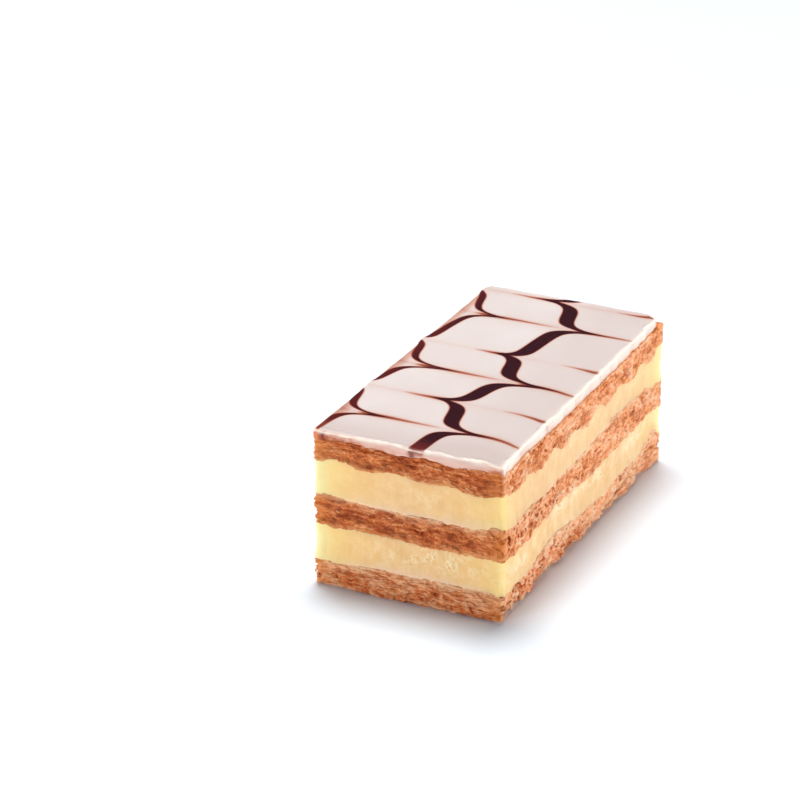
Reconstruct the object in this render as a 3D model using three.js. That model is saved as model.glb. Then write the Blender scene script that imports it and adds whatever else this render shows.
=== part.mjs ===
// A slice of mille-feuille: three sheets of puff pastry, two layers of custard
// between them, and a sheet of poured fondant on top.
// Millimetres, +Z up, +Y along the slice. The origin is the centre of the underside.

import * as THREE from "three";

// ---- Driving dimensions ----

const WIDTH = 49; // across the cut, before the ragged edge of the pastry
const LENGTH = 99; // along the cut
const CORNER_RADIUS = 1.2; // upright corners, as a knife leaves them
const RAGGED = 0.5; // furthest that a leaf of pastry stands out of the cut
const DEEPEST = 1.0; // furthest that a gap between leaves goes in

// Heights of the seams between the layers, from the table up.
const UNDERSIDE = 0;
const CUSTARD_LOWER_FLOOR = 6.9;
const PASTRY_MIDDLE_FLOOR = 16.6;
const CUSTARD_UPPER_FLOOR = 23.8;
const PASTRY_TOP_FLOOR = 33.8;
const FONDANT_FLOOR = 38.7;
const FONDANT_FACE = 41.0;

const SEAM_GAP = 0.1; // clearance between one layer and the next
const CAP_INSET = 3; // how far in from the cut the flat caps begin
const LEAVES = 9; // rows of leaf edges up the side of a pastry sheet
const CUSTARD_ROWS = 3;

const COLUMNS_ACROSS = 15; // columns of points on each short side
const COLUMNS_ALONG = 33; // and on each long side
const CORNER_STEPS = 3; // and round each corner

const LEAF_OUT = 0.3; // an outer leaf edge, measured from the cut
const LEAF_IN = 0.45; // the gap between two leaves
const LEAF_WANDER = 0.4; // how far one leaf edge strays in and out
const LEAF_WAVES = [19, 31, 47, 71];
const LEAF_FADES = [6, 11, 17, 29]; // where a leaf edge or a gap closes up
const LEAF_RISE = 0.2; // how far it strays up and down
const SHEET_WANDER = 0.35; // how far a whole sheet strays in and out
const SHEET_WAVES = [3, 5, 8, 13];

const CUSTARD_RECESS = 0.2; // the custard stands back from the pastry
const CUSTARD_WANDER = 0.15;
const CUSTARD_WAVES = [4, 9, 15, 26];
const CUSTARD_HOLLOW = 0.12; // and is a little hollow at half height

const FONDANT_RECESS = 0.35;
const FONDANT_ROUND = 0.9; // radius of the fondant's upper edge
const FONDANT_ROUND_STEPS = 3;

const HALF_WIDTH = WIDTH / 2;
const HALF_LENGTH = LENGTH / 2;
const TURN = 2 * Math.PI;
const GOLDEN = (Math.sqrt(5) - 1) / 2;

// ---- The cut outline ----

const STRAIGHT_ACROSS = WIDTH - 2 * CORNER_RADIUS;
const STRAIGHT_ALONG = LENGTH - 2 * CORNER_RADIUS;
const CORNER_ARC = (TURN / 4) * CORNER_RADIUS;
const PERIMETER = 2 * (STRAIGHT_ACROSS + STRAIGHT_ALONG) + 4 * CORNER_ARC;

// Distance round the outline at which each side begins, going front, right, back, left.
const SIDE_START = {
  front: 0,
  right: STRAIGHT_ACROSS + CORNER_ARC,
  back: STRAIGHT_ACROSS + STRAIGHT_ALONG + 2 * CORNER_ARC,
  left: 2 * STRAIGHT_ACROSS + STRAIGHT_ALONG + 3 * CORNER_ARC,
};

// One column of points up the side: where it stands on the outline, the ray it moves
// along when the surface goes in or out, and how far round the outline it is.
function column(x, y, distance) {
  const reach = Math.max(Math.abs(x) / HALF_WIDTH, Math.abs(y) / HALF_LENGTH);
  return {
    x,
    y,
    rayX: x / HALF_WIDTH / reach,
    rayY: y / HALF_LENGTH / reach,
    turn: distance / PERIMETER,
  };
}

// The outline is a rectangle with rounded corners, walked anticlockwise from the
// front left. Each leg is a straight side and the quarter circle that ends it.
function outline() {
  const columns = [];
  const legs = [
    { length: STRAIGHT_ACROSS, steps: COLUMNS_ACROSS, heading: 0 },
    { length: STRAIGHT_ALONG, steps: COLUMNS_ALONG, heading: 1 },
    { length: STRAIGHT_ACROSS, steps: COLUMNS_ACROSS, heading: 2 },
    { length: STRAIGHT_ALONG, steps: COLUMNS_ALONG, heading: 3 },
  ];
  let x = -HALF_WIDTH + CORNER_RADIUS;
  let y = -HALF_LENGTH;
  let distance = 0;
  for (const { length, steps, heading } of legs) {
    const angle = (TURN / 4) * heading;
    const alongX = Math.cos(angle);
    const alongY = Math.sin(angle);
    for (let i = 0; i < steps; i++) {
      const way = (length * i) / steps;
      columns.push(column(x + alongX * way, y + alongY * way, distance + way));
    }
    x += alongX * length;
    y += alongY * length;
    distance += length;
    const centreX = x - alongY * CORNER_RADIUS;
    const centreY = y + alongX * CORNER_RADIUS;
    for (let i = 0; i < CORNER_STEPS; i++) {
      const turned = angle - TURN / 4 + ((TURN / 4) * i) / CORNER_STEPS;
      columns.push(
        column(
          centreX + CORNER_RADIUS * Math.cos(turned),
          centreY + CORNER_RADIUS * Math.sin(turned),
          distance + (CORNER_ARC * i) / CORNER_STEPS,
        ),
      );
    }
    x = centreX + CORNER_RADIUS * alongX;
    y = centreY + CORNER_RADIUS * alongY;
    distance += CORNER_ARC;
  }
  return columns;
}

// ---- Unevenness ----

// A smooth run of rises and falls round the outline, from -1 to 1. Each wave fits
// the outline a whole number of times, so the run closes on itself, and the golden
// ratio spreads the phases, so every seed gives a run of its own.
function wander(turn, seed, waves) {
  let sum = 0;
  let most = 0;
  waves.forEach((count, k) => {
    const weight = 1 / Math.sqrt(k + 1);
    const phase = GOLDEN * (7 * seed + 3 * k + 1);
    sum += weight * Math.cos(TURN * (count * turn + phase));
    most += weight;
  });
  return sum / most;
}

// A single rounded lump on a seam, `at` millimetres along a side.
function lump(turn, { side, at, rise, spread }) {
  const centre = (SIDE_START[side] + at) / PERIMETER;
  let away = turn - centre;
  away -= Math.round(away);
  return rise * Math.exp(-(((away * PERIMETER) / spread) ** 2));
}

const lumps = (turn, list) =>
  list.reduce((sum, each) => sum + lump(turn, each), 0);

const SEAM_WAVES = [7, 12, 21, 34];

// The top sheet's underside hangs in a row of swags, a whole number round the slice,
// and they hang less low along the front.
const SWAGS = 21;
const SWAG_START = 54.8; // distance round the outline of the first swag
const SWAG_DROP = 2.2;
const SWAG_FRONT = { side: "front", at: 23, rise: 1.2, spread: 28 };

function swag(turn) {
  const wave = Math.cos(TURN * SWAGS * (turn - SWAG_START / PERIMETER));
  const drop = SWAG_DROP - lump(turn, SWAG_FRONT);
  return -drop * (0.5 + 0.5 * wave) ** 0.8;
}

// How each seam rises and falls where it meets the cut.
const SEAMS = {
  underside: {
    height: UNDERSIDE,
    rise: (turn) =>
      0.2 +
      0.2 * wander(turn, 1, SEAM_WAVES) +
      lumps(turn, [{ side: "right", at: 44, rise: 0.9, spread: 36 }]),
  },
  custardLowerFloor: {
    height: CUSTARD_LOWER_FLOOR,
    rise: (turn) =>
      0.35 * wander(turn, 2, SEAM_WAVES) +
      lumps(turn, [
        { side: "front", at: 30, rise: 0.6, spread: 20 },
        { side: "right", at: 29, rise: 2.8, spread: 9 },
        { side: "right", at: 44, rise: 1.5, spread: 9 },
        { side: "right", at: 76, rise: 1.2, spread: 6 },
        { side: "right", at: 92, rise: 4.3, spread: 5 },
        { side: "left", at: 22, rise: 1.4, spread: 6 },
        { side: "left", at: 63, rise: 1.1, spread: 5 },
        { side: "back", at: 30, rise: 1.0, spread: 5 },
      ]),
  },
  pastryMiddleFloor: {
    height: PASTRY_MIDDLE_FLOOR,
    rise: (turn) =>
      0.35 * wander(turn, 3, SEAM_WAVES) +
      lumps(turn, [
        { side: "front", at: 10, rise: -0.6, spread: 9 },
        { side: "front", at: 28, rise: -0.6, spread: 20 },
        { side: "right", at: 10, rise: -1.2, spread: 9 },
        { side: "right", at: 31, rise: 0.7, spread: 7 },
        { side: "right", at: 53, rise: -0.9, spread: 5 },
        { side: "right", at: 71, rise: -0.6, spread: 6 },
        { side: "left", at: 45, rise: -1.2, spread: 7 },
      ]),
  },
  custardUpperFloor: {
    height: CUSTARD_UPPER_FLOOR,
    rise: (turn) =>
      0.3 * wander(turn, 4, SEAM_WAVES) +
      lumps(turn, [
        { side: "front", at: 2, rise: 0.5, spread: 5 },
        { side: "front", at: 31, rise: -0.3, spread: 10 },
        { side: "front", at: 46, rise: 1.0, spread: 3 },
        { side: "right", at: 20, rise: -0.4, spread: 8 },
        { side: "right", at: 68, rise: 1.9, spread: 14 },
        { side: "left", at: 80, rise: 0.8, spread: 6 },
      ]),
  },
  pastryTopFloor: {
    height: PASTRY_TOP_FLOOR,
    rise: (turn) =>
      swag(turn) +
      0.25 * wander(turn, 5, SEAM_WAVES) +
      lumps(turn, [
        { side: "front", at: 33, rise: -0.7, spread: 13 },
        { side: "right", at: 44, rise: -0.9, spread: 50 },
      ]),
  },
  fondantFloor: {
    height: FONDANT_FLOOR,
    rise: (turn) =>
      0.2 * wander(turn, 6, SEAM_WAVES) +
      lumps(turn, [
        { side: "front", at: 20, rise: -0.7, spread: 6 },
        { side: "front", at: 34, rise: -0.3, spread: 4 },
        { side: "front", at: 44, rise: 0.4, spread: 4 },
        { side: "right", at: 48, rise: -0.6, spread: 50 },
      ]),
  },
};

const seamHeight = (seam, turn) => seam.height + seam.rise(turn);

// ---- Building a layer ----

const COLUMNS = outline();

// A ring of points round the slice. out(turn) is how far each point stands out of the
// cut, and height(turn) its height.
const ring = (out, height) =>
  COLUMNS.map((c) => {
    const offset = out(c.turn);
    return new THREE.Vector3(
      c.x + c.rayX * offset,
      c.y + c.rayY * offset,
      height(c.turn),
    );
  });

// The middle of a cap, at the mean height of its ring.
function middleOf(cap) {
  const total = cap.reduce((sum, p) => sum + p.z, 0);
  return new THREE.Vector3(0, 0, total / cap.length);
}

// Skins a stack of rings, from the lowest to the highest, and closes both ends with a
// fan from the middle, so the caps of two layers that meet lie parallel.
function skin(rings) {
  const count = COLUMNS.length;
  const points = [...rings.flat(), middleOf(rings[0]), middleOf(rings.at(-1))];
  const index = [];
  for (let level = 0; level + 1 < rings.length; level++) {
    for (let i = 0; i < count; i++) {
      const next = (i + 1) % count;
      const a = level * count + i;
      const b = level * count + next;
      index.push(a, b, b + count, a, b + count, a + count);
    }
  }
  const top = (rings.length - 1) * count;
  const under = rings.length * count;
  const over = under + 1;
  for (let i = 0; i < count; i++) {
    const next = (i + 1) % count;
    index.push(under, next, i, over, top + i, top + next);
  }
  const geometry = new THREE.BufferGeometry().setFromPoints(points);
  geometry.setIndex(index);
  geometry.computeVertexNormals();
  return geometry;
}

const capEdge = () => -CAP_INSET;

// A sheet of puff pastry: its side is a stack of leaf edges that stand out and
// fall back by turns, each straying on its own.
function pastryGeometry(floor, ceiling, seed, restsFlat) {
  const low = (turn) => seamHeight(floor, turn) + (restsFlat ? 0 : SEAM_GAP);
  const high = (turn) => seamHeight(ceiling, turn);
  const rings = [ring(capEdge, restsFlat ? () => floor.height : low)];
  for (let row = 0; row <= LEAVES; row++) {
    const share = row / LEAVES;
    const onSeam = row === 0 || row === LEAVES;
    const level = row % 2 === 0 ? -LEAF_IN : LEAF_OUT;
    const leafSeed = seed + row;
    const out = (turn) => {
      const sheet = SHEET_WANDER * wander(turn, seed, SHEET_WAVES);
      const leaf = LEAF_WANDER * wander(turn, leafSeed, LEAF_WAVES);
      const open = 0.5 + wander(turn, leafSeed + 0.5, LEAF_FADES);
      const stand = level * open + leaf + sheet;
      return THREE.MathUtils.clamp(stand, -DEEPEST, RAGGED);
    };
    const height = (turn) => {
      const stray = onSeam ? 0 : LEAF_RISE * wander(turn, -leafSeed, LEAF_WAVES);
      return THREE.MathUtils.lerp(low(turn), high(turn), share) + stray;
    };
    rings.push(ring(out, height));
  }
  rings.push(ring(capEdge, high));
  return skin(rings);
}

// A layer of custard: a soft, nearly smooth side, standing a little back.
function custardGeometry(floor, ceiling, seed) {
  const low = (turn) => seamHeight(floor, turn) + SEAM_GAP;
  const high = (turn) => seamHeight(ceiling, turn);
  const rings = [ring(capEdge, low)];
  for (let row = 0; row <= CUSTARD_ROWS; row++) {
    const share = row / CUSTARD_ROWS;
    const hollow = CUSTARD_HOLLOW * Math.sin(Math.PI * share);
    const out = (turn) =>
      -CUSTARD_RECESS -
      hollow +
      CUSTARD_WANDER * wander(turn, seed + row / 4, CUSTARD_WAVES);
    rings.push(
      ring(out, (turn) => THREE.MathUtils.lerp(low(turn), high(turn), share)),
    );
  }
  rings.push(ring(capEdge, high));
  return skin(rings);
}

// The poured fondant: a flat sheet with a rounded upper edge, whose lower edge
// follows the uneven top of the pastry.
function fondantGeometry(floor) {
  const low = (turn) => seamHeight(floor, turn) + SEAM_GAP;
  const edge = () => -FONDANT_RECESS;
  const rings = [ring(capEdge, low), ring(edge, low)];
  for (let step = 0; step <= FONDANT_ROUND_STEPS; step++) {
    const angle = ((TURN / 4) * step) / FONDANT_ROUND_STEPS;
    const inward = FONDANT_ROUND * (1 - Math.cos(angle));
    const below = FONDANT_ROUND * (1 - Math.sin(angle));
    rings.push(
      ring(
        () => -FONDANT_RECESS - inward,
        () => FONDANT_FACE - below,
      ),
    );
  }
  rings.push(ring(capEdge, () => FONDANT_FACE));
  return skin(rings);
}

// ---- Materials ----

const pastryMaterial = (color) =>
  new THREE.MeshStandardMaterial({ color, roughness: 0.75, metalness: 0 });

const custardMaterial = (color) =>
  new THREE.MeshStandardMaterial({ color, roughness: 0.45, metalness: 0 });

const fondantMaterial = (color) =>
  new THREE.MeshStandardMaterial({ color, roughness: 0.2, metalness: 0 });

const BAKED_BROWN = "#c07a48";
const CUSTARD_YELLOW = "#f2ce92";
const FONDANT_WHITE = "#ede0db";

// ---- The slice ----

const { underside, custardLowerFloor, pastryMiddleFloor } = SEAMS;
const { custardUpperFloor, pastryTopFloor, fondantFloor } = SEAMS;

const slice = new THREE.Group();

function layer(name, geometry, material) {
  const mesh = new THREE.Mesh(geometry, material);
  mesh.name = name;
  slice.add(mesh);
}

layer(
  "pastry_bottom",
  pastryGeometry(underside, custardLowerFloor, 10, true),
  pastryMaterial(BAKED_BROWN),
);
layer(
  "custard_lower",
  custardGeometry(custardLowerFloor, pastryMiddleFloor, 21),
  custardMaterial(CUSTARD_YELLOW),
);
layer(
  "pastry_middle",
  pastryGeometry(pastryMiddleFloor, custardUpperFloor, 30, false),
  pastryMaterial(BAKED_BROWN),
);
layer(
  "custard_upper",
  custardGeometry(custardUpperFloor, pastryTopFloor, 43),
  custardMaterial(CUSTARD_YELLOW),
);
layer(
  "pastry_top",
  pastryGeometry(pastryTopFloor, fondantFloor, 50, false),
  pastryMaterial(BAKED_BROWN),
);
layer("fondant", fondantGeometry(fondantFloor), fondantMaterial(FONDANT_WHITE));

export default slice;
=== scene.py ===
"""A slice of mille-feuille: three sheets of puff pastry, two layers of custard between
them, and a sheet of poured fondant feathered with chocolate, on a pale table.

The scene is in metres, +Z up and +Y along the slice, from the centre of its underside.
Sizes are written in millimetres, and MM makes them metres.
"""

import math
from types import SimpleNamespace

import bpy
import numpy as np
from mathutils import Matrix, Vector


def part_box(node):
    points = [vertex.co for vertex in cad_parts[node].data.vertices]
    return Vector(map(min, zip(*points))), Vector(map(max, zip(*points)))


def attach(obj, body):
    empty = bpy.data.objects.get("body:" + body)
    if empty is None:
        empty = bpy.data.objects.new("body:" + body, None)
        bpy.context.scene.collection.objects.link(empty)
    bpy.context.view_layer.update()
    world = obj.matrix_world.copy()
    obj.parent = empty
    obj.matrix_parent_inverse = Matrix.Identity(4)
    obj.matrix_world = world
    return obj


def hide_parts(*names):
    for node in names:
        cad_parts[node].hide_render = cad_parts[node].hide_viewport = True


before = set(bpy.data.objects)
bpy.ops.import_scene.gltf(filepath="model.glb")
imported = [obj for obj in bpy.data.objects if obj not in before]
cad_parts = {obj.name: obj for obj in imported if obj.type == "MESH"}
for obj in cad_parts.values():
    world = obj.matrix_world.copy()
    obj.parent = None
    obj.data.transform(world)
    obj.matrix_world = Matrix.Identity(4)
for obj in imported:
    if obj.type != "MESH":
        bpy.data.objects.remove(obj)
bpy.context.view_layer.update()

MM = 0.001
TURN = 2 * math.pi
GOLDEN = (math.sqrt(5) - 1) / 2

# ---- Sizes of the slice ----

FONDANT_RECESS = 0.35  # the fondant stands back from the cut
FONDANT_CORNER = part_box("fondant")[1] / MM
HALF_WIDTH = FONDANT_CORNER.x + FONDANT_RECESS
HALF_LENGTH = FONDANT_CORNER.y + FONDANT_RECESS
FONDANT_FACE = FONDANT_CORNER.z
CORNER_RADIUS = 1.2
RAGGED = 0.48  # furthest that anything stands out of the cut
DEEPEST = 1.5  # furthest that a pit in the pastry goes in
CAP_INSET = 3  # how far in from the cut the hidden flat faces begin

STRAIGHT_ACROSS = 2 * (HALF_WIDTH - CORNER_RADIUS)
STRAIGHT_ALONG = 2 * (HALF_LENGTH - CORNER_RADIUS)
CORNER_ARC = TURN / 4 * CORNER_RADIUS
PERIMETER = 2 * (STRAIGHT_ACROSS + STRAIGHT_ALONG) + 4 * CORNER_ARC

# Distance round the outline at which each side begins.
SIDE_START = {
    "front": 0,
    "right": STRAIGHT_ACROSS + CORNER_ARC,
    "back": STRAIGHT_ACROSS + STRAIGHT_ALONG + 2 * CORNER_ARC,
    "left": 2 * STRAIGHT_ACROSS + STRAIGHT_ALONG + 3 * CORNER_ARC,
}
SIDE_RAY = {"front": (1, -1), "right": (0, 1), "back": (1, 1), "left": (0, -1)}
FACING_FROM = 0.93  # a side fades in from this part of the half size
FACING_FADE = 0.07  # over this part of it

PASTRY_STEP = 0.17  # spacing of the columns of points round each kind of layer
CUSTARD_STEP = 0.2
FONDANT_STEP = 0.3
PASTRY_ROWS = 46
CUSTARD_ROWS = 56


# ---- The cut outline ----


def walk(step):
    """The cut as columns of points about `step` apart, anticlockwise from the front left:
    straight sides, each ended by a quarter circle. A column's ray is its place over the
    half sizes, scaled so that its larger part is 1."""
    across = 2 * round(STRAIGHT_ACROSS / step / 2)
    along = round(STRAIGHT_ALONG / step)
    corner = max(3, round(CORNER_ARC / step))
    part = np.arange(corner) / corner
    start = np.array([-HALF_WIDTH + CORNER_RADIUS, -HALF_LENGTH])
    distance = 0
    places, distances = [], []
    legs = [(STRAIGHT_ACROSS, across), (STRAIGHT_ALONG, along)] * 2
    for quarter, (length, steps) in enumerate(legs):
        angle = TURN / 4 * quarter
        heading = np.array([math.cos(angle), math.sin(angle)])
        way = length * np.arange(steps) / steps
        centre = start + length * heading + CORNER_RADIUS * heading[::-1] * [-1, 1]
        turned = angle + TURN / 4 * (part - 1)
        arc = np.stack([np.cos(turned), np.sin(turned)], -1)
        places += [start + way[:, None] * heading, centre + CORNER_RADIUS * arc]
        distances += [distance + way, distance + length + CORNER_ARC * part]
        start = centre + CORNER_RADIUS * heading
        distance += length + CORNER_ARC
    place = np.concatenate(places)
    ray = place / [HALF_WIDTH, HALF_LENGTH]
    ray = ray / np.abs(ray).max(1, keepdims=True)
    turn = np.concatenate(distances) / PERIMETER
    counts = {"across": across, "along": along, "corner": corner}
    return SimpleNamespace(place=place, ray=ray, turn=turn, distance=turn * PERIMETER, **counts)


def ease(part):
    """A smooth step from 0 to 1: part squared times (3 - 2 part)."""
    part = np.clip(part, 0, 1)
    return part * part * (3 - 2 * part)


def bell(distance):
    """e to the minus distance squared."""
    return np.exp(-(distance**2))


def facing(cut, side):
    """1 along one side, fading to 0 just round its corners."""
    axis, sign = SIDE_RAY[side]
    return ease((sign * cut.ray[:, axis] - FACING_FROM) / FACING_FADE)


def by_side(cut, shares):
    """The sum of each side's share, faded from side to side."""
    return sum(share * facing(cut, side) for side, share in shares.items())


def near_corner(cut, reach, strengths):
    """The largest, over the upright corners, of strength times e to the minus (distance
    / reach). A corner has the name of the side that begins there."""
    largest = 0 * cut.distance
    for side, strength in strengths.items():
        away = cut.distance - SIDE_START[side] + CORNER_ARC / 2
        away = np.abs((away + PERIMETER / 2) % PERIMETER - PERIMETER / 2)
        largest = np.maximum(largest, strength * np.exp(-away / reach))
    return largest


# ---- Unevenness ----


def wander(cut, seed, waves):
    """Smooth rises and falls, -1 to 1: a weighted mean of cosines that fit the outline
    a whole number of times, with phases spread by the golden ratio."""
    order = np.arange(len(waves))
    weight = 1 / np.sqrt(order + 1)
    phase = GOLDEN * (7 * seed + 3 * order + 1)
    cosines = np.cos(TURN * (np.multiply.outer(cut.turn, waves) + phase))
    return cosines @ weight / weight.sum()


GRAIN_ROWS = 97  # rows of random numbers before they repeat


def cells(distance, height, along, up):
    """A grid that closes round the slice, with cells of about `along` by `up`: how many
    go round, each point's cell, and how far along and up in it the point is."""
    count = round(PERIMETER / along)
    place = np.array(np.broadcast_arrays(distance / PERIMETER * count, height / up))
    cell = np.floor(place).astype(int)
    return count, cell, place - cell


def grain(distance, height, along, up, seed):
    """Soft random patches, -1 to 1: random numbers at the crossings of a grid, eased
    from each to the next."""
    count, (column, row), part = cells(distance, height, along, up)
    numbers = np.random.default_rng(seed).uniform(-1, 1, (GRAIN_ROWS, count))
    across, above = ease(part)

    def level(up):
        this, after = (numbers[(row + up) % GRAIN_ROWS, (column + k) % count] for k in (0, 1))
        return this * (1 - across) + after * across

    return level(0) * (1 - above) + level(1) * above


def rough(distance, height, sizes, seed):
    """The sum of several grains, each given as (along, up, depth)."""
    return sum(
        depth * grain(distance, height, along, up, number)
        for number, (along, up, depth) in enumerate(sizes, seed)
    )


def run(cut, along, seed):
    """A random run along the outline, -1 to 1, the same at every height."""
    return grain(cut.distance, 0.0, along, 1, seed)


def pebbles(distance, height, size, flat, seed):
    """Rounded grains, 0 to 1: one point moved at random in each cell of a grid, and 1
    less the squared distance to the nearest point."""
    count, (column, row), (x, y) = cells(distance, height, size, size * flat)
    points = np.random.default_rng(seed).uniform(0.05, 0.95, (2, GRAIN_ROWS, count))
    nearest = 1
    for up in (-1, 0, 1):
        for along in (-1, 0, 1):
            at = points[:, (row + up) % GRAIN_ROWS, (column + along) % count]
            nearest = np.minimum(nearest, (x - along - at[0]) ** 2 + (y - up - at[1]) ** 2)
    return 1 - nearest


def lump(cut, side, at, rise, spread):
    """A rounded lump: rise times e to the minus (distance / spread) squared, from `at`
    along a side."""
    away = cut.turn - (SIDE_START[side] + at) / PERIMETER
    away = (away - np.round(away)) * PERIMETER
    return rise * bell(away / spread)


SWAGS = 21  # round the whole outline
SWAG_START = 54.8
SWAG_DROP = 2.2
SWAG_FRONT = ("front", 23, 1.2, 28)


def swag(cut):
    """The top sheet's underside hangs in swags, shallower at the front: a raised cosine
    to the power 0.8."""
    wave = np.cos(TURN * SWAGS * (cut.turn - SWAG_START / PERIMETER))
    drop = SWAG_DROP - lump(cut, *SWAG_FRONT)
    return -drop * np.clip(0.5 + 0.5 * wave, 0, 1) ** 0.8


SEAM_WAVES = [7, 12, 21, 34]

# The seam under each layer: its height, how much it wanders, its seed, and its lumps, as
# each side's list of (how far along the side, how high, how wide).
SEAMS = {
    "pastry_bottom": (0.2, 0.2, 1, {"right": [(44, 0.9, 36)]}),
    "custard_lower": (6.9, 0.35, 2, {
        "front": [(30, 0.6, 20)],
        "right": [(29, 2.8, 9), (44, 1.5, 9), (76, 1.2, 6), (92, 4.3, 5)],
        "left": [(22, 1.4, 6), (63, 1.1, 5)],
        "back": [(30, 1.0, 5)],
    }),
    "pastry_middle": (16.6, 0.35, 3, {
        "front": [(10, -0.6, 9), (28, -0.6, 20)],
        "right": [(10, -1.2, 9), (31, 0.7, 7), (53, -0.9, 5), (71, -0.6, 6)],
        "left": [(45, -1.2, 7)],
    }),
    "custard_upper": (23.8, 0.3, 4, {
        "front": [(2, 0.5, 5), (31, -0.3, 10), (46, 1.0, 3)],
        "right": [(20, -0.4, 8), (68, 1.9, 14)],
        "left": [(80, 0.8, 6)],
    }),
    "pastry_top": (33.8, 0.25, 5, {
        "front": [(33, -0.7, 13)],
        "right": [(44, -0.9, 50)],
    }),
    "fondant": (38.7, 0.2, 6, {
        "front": [(20, -0.7, 6), (34, -0.3, 4), (44, 0.4, 4)],
        "right": [(48, -0.6, 50)],
    }),
}

CRUMBLY = {"right": 1, "back": 0.7, "left": 0.45}
SEAM_CRUMBS = [(4.4, 0.4), (2.1, 0.5), (0.9, 0.35)]  # how the crumb breaks up a seam
SEAM_EVEN = 0.35  # how much of that where the cut isn't crumbly
SEAM_FINE = 0.2  # how much of it against the fondant and the table
SEAM_SMOOTH = {"fondant": 0, "pastry_bottom": 0.35}  # and how much more on the right


def seam(name, cut):
    """Height of the seam under a layer: its own, its wander, lumps and swags, and the
    crumb, which is coarser on the crumbly sides and fine against the fondant and the
    table."""
    height, reach, seed, lumps = SEAMS[name]
    line = height + reach * wander(cut, seed, SEAM_WAVES)
    for side, several in lumps.items():
        for one in several:
            line = line + lump(cut, side, *one)
    if name == "pastry_top":
        line = line + swag(cut)
    coarse = SEAM_EVEN + (1 - SEAM_EVEN) * by_side(cut, CRUMBLY)
    if name in SEAM_SMOOTH:
        coarse = SEAM_FINE + SEAM_SMOOTH[name] * facing(cut, "right")
    for number, (size, depth) in enumerate(SEAM_CRUMBS, 60 + 7 * seed):
        line = line + coarse * depth * grain(cut.distance, 0.5, size, 1, number)
    return np.maximum(line, 0)


def surround(field, along, up):
    """Mean of a field over the near columns, which close round the slice, and rows."""
    near = sum(np.roll(field, k, axis=1) for k in range(-along, along + 1))
    padded = np.pad(near / (2 * along + 1), ((up, up), (0, 0)), mode="edge")
    return sum(padded[k : k + len(field)] for k in range(2 * up + 1)) / (2 * up + 1)


# ---- Meshes ----


def ring(cut, out, height):
    """A ring of points: each column moved `out` along its ray, at that height."""
    moved = cut.place + cut.ray * np.broadcast_to(out, cut.turn.shape)[:, None]
    level = np.broadcast_to(height, cut.turn.shape)
    return np.column_stack([moved, level])


def with_ends(fields, shape, count):
    """The marks of all rings: each mark's field over the cut, and one value for the
    `count` hidden rings below and above."""
    marks = {}
    for mark, (field, value) in fields.items():
        ends = np.full((count, shape[1]), float(value))
        marks[mark] = np.concatenate([ends, np.broadcast_to(field, shape), ends])
    return marks


def spine_pairs(cut):
    """The columns of the right side, and those across from them."""
    right = cut.across + cut.corner + np.arange(cut.along + 1)
    return right, (cut.across - right) % len(cut.turn)


def with_spines(field, cut):
    """The values of all rings, then of a spine under the lowest and one over the
    highest: the mean of each column of the right side and the one across from it."""
    right, left = spine_pairs(cut)
    spines = [(end[right] + end[left]) / 2 for end in (field[0], field[-1])]
    return np.concatenate([field.reshape(-1, *field.shape[2:]), *spines])


def skin(cut, levels):
    """Faces of a closed body: four-sided ones from ring to ring, and at each end a cap,
    which joins the long sides to the spine and fans the short sides to its ends."""
    count = len(cut.turn)
    near = np.arange(count)
    far = np.roll(near, -1)
    first = count * np.arange(levels - 1)[:, None]
    sides = np.stack([near + first, far + first, far + first + count, near + first + count], -1)
    faces = sides.reshape(-1, 4).tolist()
    right, left = spine_pairs(cut)
    end = np.arange(cut.across + 2 * cut.corner + 1)
    front = (left[0] + end) % count
    back = (right[-1] + end) % count
    for side, level, way in ((0, 0, -1), (1, levels - 1, 1)):
        bone = levels * count + side * len(right) + np.arange(len(right))
        east, west, south, north = (edge + level * count for edge in (right, left, front, back))
        for corners in (
            [east[:-1], east[1:], bone[1:], bone[:-1]],
            [bone[:-1], bone[1:], west[1:], west[:-1]],
            [south[:-1], south[1:], bone[0] + 0 * end[1:]],
            [north[:-1], north[1:], bone[-1] + 0 * end[1:]],
        ):
            faces += np.stack(corners, -1)[:, ::way].tolist()
    return faces


def make_piece(name, points, faces, finish, marks=None):
    """A smooth mesh object from points in millimetres, with its marks as values on
    them."""
    mesh = bpy.data.meshes.new(name)
    mesh.from_pydata(points * MM, [], faces)
    for mark, values in (marks or {}).items():
        layer = mesh.attributes.new(mark, "FLOAT", "POINT")
        layer.data.foreach_set("value", values.astype(np.float32).ravel())
    mesh.shade_smooth()
    mesh.materials.append(finish)
    piece = bpy.data.objects.new(name, mesh)
    bpy.context.scene.collection.objects.link(piece)
    return piece


# ---- Puff pastry ----

LEAVES = 9  # rows of main leaf edges and gaps up a sheet
LEAF_OUT = 0.3  # how far a leaf edge stands out, and how far a gap goes in
LEAF_IN = 0.45
LEAF_WANDER = 0.4
LEAF_WAVES = [19, 31, 47, 71]
LEAF_FADES = [6, 11, 17, 29]  # how a leaf opens and closes
LEAF_RISE = 0.2
SHEET_WANDER = 0.35  # of the sheet as a whole
SHEET_WAVES = [3, 5, 8, 13]


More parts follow.
